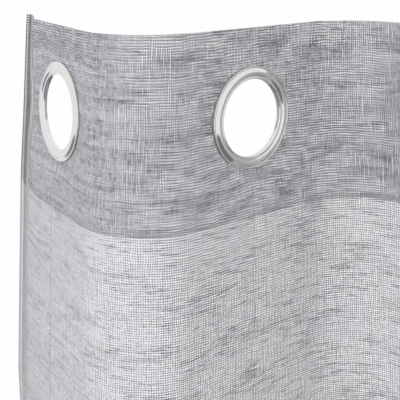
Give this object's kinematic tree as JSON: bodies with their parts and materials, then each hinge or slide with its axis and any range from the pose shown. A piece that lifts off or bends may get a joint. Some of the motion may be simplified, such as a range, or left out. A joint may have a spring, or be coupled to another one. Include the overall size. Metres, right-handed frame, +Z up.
{
  "type": "fabric room curtain panel",
  "caption": "Sheer grey linen-look eyelet curtain panel with a doubled heading, sewn hems and polished ring eyelets; its pleats fold together along the pole.",
  "frame": {"origin": "on the line through the eyelet centres, at the middle of the hung width", "axes": "+X along the pole to the right as seen from the room, +Y towards the window, +Z up"},
  "size_m": [1.0026, 0.0938, 2.5],
  "materials": {
    "drop_cloth": "open plain weave, matte, see-through between the threads",
    "heading_cloth": "two layers of the open plain weave, matte",
    "hem_cloth": "three folded layers of the plain weave, matte, with a sewn line",
    "eyelet_metal": "polished silver",
    "label_tape": "plain woven tape, no print",
    "thread": "sewing thread, matte"
  },
  "bodies": {
    "outer_edge": {"side_hem_left": "hem_cloth"},
    "pleat_01": {"heading_01": "heading_cloth", "drop_01": "drop_cloth", "bottom_hem_01": "hem_cloth", "eyelet_front_01": "eyelet_metal", "eyelet_back_01": "eyelet_metal"},
    "pleat_02": {"heading_02": "heading_cloth", "drop_02": "drop_cloth", "bottom_hem_02": "hem_cloth", "eyelet_front_02": "eyelet_metal", "eyelet_back_02": "eyelet_metal"},
    "pleat_03": {"heading_03": "heading_cloth", "drop_03": "drop_cloth", "bottom_hem_03": "hem_cloth", "eyelet_front_03": "eyelet_metal", "eyelet_back_03": "eyelet_metal"},
    "pleat_04": {"heading_04": "heading_cloth", "drop_04": "drop_cloth", "bottom_hem_04": "hem_cloth", "eyelet_front_04": "eyelet_metal", "eyelet_back_04": "eyelet_metal"},
    "pleat_05": {"heading_05": "heading_cloth", "drop_05": "drop_cloth", "bottom_hem_05": "hem_cloth", "eyelet_front_05": "eyelet_metal", "eyelet_back_05": "eyelet_metal"},
    "pleat_06": {"heading_06": "heading_cloth", "drop_06": "drop_cloth", "bottom_hem_06": "hem_cloth", "eyelet_front_06": "eyelet_metal", "eyelet_back_06": "eyelet_metal"},
    "pleat_07": {"heading_07": "heading_cloth", "drop_07": "drop_cloth", "bottom_hem_07": "hem_cloth", "eyelet_front_07": "eyelet_metal", "eyelet_back_07": "eyelet_metal"},
    "pleat_08": {"heading_08": "heading_cloth", "drop_08": "drop_cloth", "bottom_hem_08": "hem_cloth", "eyelet_front_08": "eyelet_metal", "eyelet_back_08": "eyelet_metal"},
    "pleat_09": {"heading_09": "heading_cloth", "drop_09": "drop_cloth", "bottom_hem_09": "hem_cloth", "eyelet_front_09": "eyelet_metal", "eyelet_back_09": "eyelet_metal"},
    "pleat_10": {"heading_10": "heading_cloth", "drop_10": "drop_cloth", "bottom_hem_10": "hem_cloth", "eyelet_front_10": "eyelet_metal", "eyelet_back_10": "eyelet_metal", "side_hem_right": "hem_cloth", "care_label": "label_tape"}
  },
  "joints": [
    {"name": "pleat_fold_01", "type": "hinge", "parent": "outer_edge", "child": "pleat_01", "pos_m": [-0.49242, 0.02734, 0], "axis": [0, 0, -1], "range_deg": [0, 35]},
    {"name": "pleat_fold_02", "type": "hinge", "parent": "pleat_01", "child": "pleat_02", "pos_m": [-0.41872, -0.04601, 0], "axis": [0, 0, 1], "range_deg": [0, 70]},
    {"name": "pleat_fold_03", "type": "hinge", "parent": "pleat_02", "child": "pleat_03", "pos_m": [-0.31404, 0.04601, 0], "axis": [0, 0, -1], "range_deg": [0, 70]},
    {"name": "pleat_fold_04", "type": "hinge", "parent": "pleat_03", "child": "pleat_04", "pos_m": [-0.20936, -0.04601, 0], "axis": [0, 0, 1], "range_deg": [0, 70]},
    {"name": "pleat_fold_05", "type": "hinge", "parent": "pleat_04", "child": "pleat_05", "pos_m": [-0.10468, 0.04601, 0], "axis": [0, 0, -1], "range_deg": [0, 70]},
    {"name": "pleat_fold_06", "type": "hinge", "parent": "pleat_05", "child": "pleat_06", "pos_m": [0, -0.04601, 0], "axis": [0, 0, 1], "range_deg": [0, 70]},
    {"name": "pleat_fold_07", "type": "hinge", "parent": "pleat_06", "child": "pleat_07", "pos_m": [0.10468, 0.04601, 0], "axis": [0, 0, -1], "range_deg": [0, 70]},
    {"name": "pleat_fold_08", "type": "hinge", "parent": "pleat_07", "child": "pleat_08", "pos_m": [0.20936, -0.04601, 0], "axis": [0, 0, 1], "range_deg": [0, 70]},
    {"name": "pleat_fold_09", "type": "hinge", "parent": "pleat_08", "child": "pleat_09", "pos_m": [0.31404, 0.04601, 0], "axis": [0, 0, -1], "range_deg": [0, 70]},
    {"name": "pleat_fold_10", "type": "hinge", "parent": "pleat_09", "child": "pleat_10", "pos_m": [0.41872, -0.04601, 0], "axis": [0, 0, 1], "range_deg": [0, 70]}
  ],
  "couplings": [
    {"joint": "pleat_fold_02", "follows": "pleat_fold_01", "ratio": 2},
    {"joint": "pleat_fold_03", "follows": "pleat_fold_01", "ratio": 2},
    {"joint": "pleat_fold_04", "follows": "pleat_fold_01", "ratio": 2},
    {"joint": "pleat_fold_05", "follows": "pleat_fold_01", "ratio": 2},
    {"joint": "pleat_fold_06", "follows": "pleat_fold_01", "ratio": 2},
    {"joint": "pleat_fold_07", "follows": "pleat_fold_01", "ratio": 2},
    {"joint": "pleat_fold_08", "follows": "pleat_fold_01", "ratio": 2},
    {"joint": "pleat_fold_09", "follows": "pleat_fold_01", "ratio": 2},
    {"joint": "pleat_fold_10", "follows": "pleat_fold_01", "ratio": 2}
  ]
}
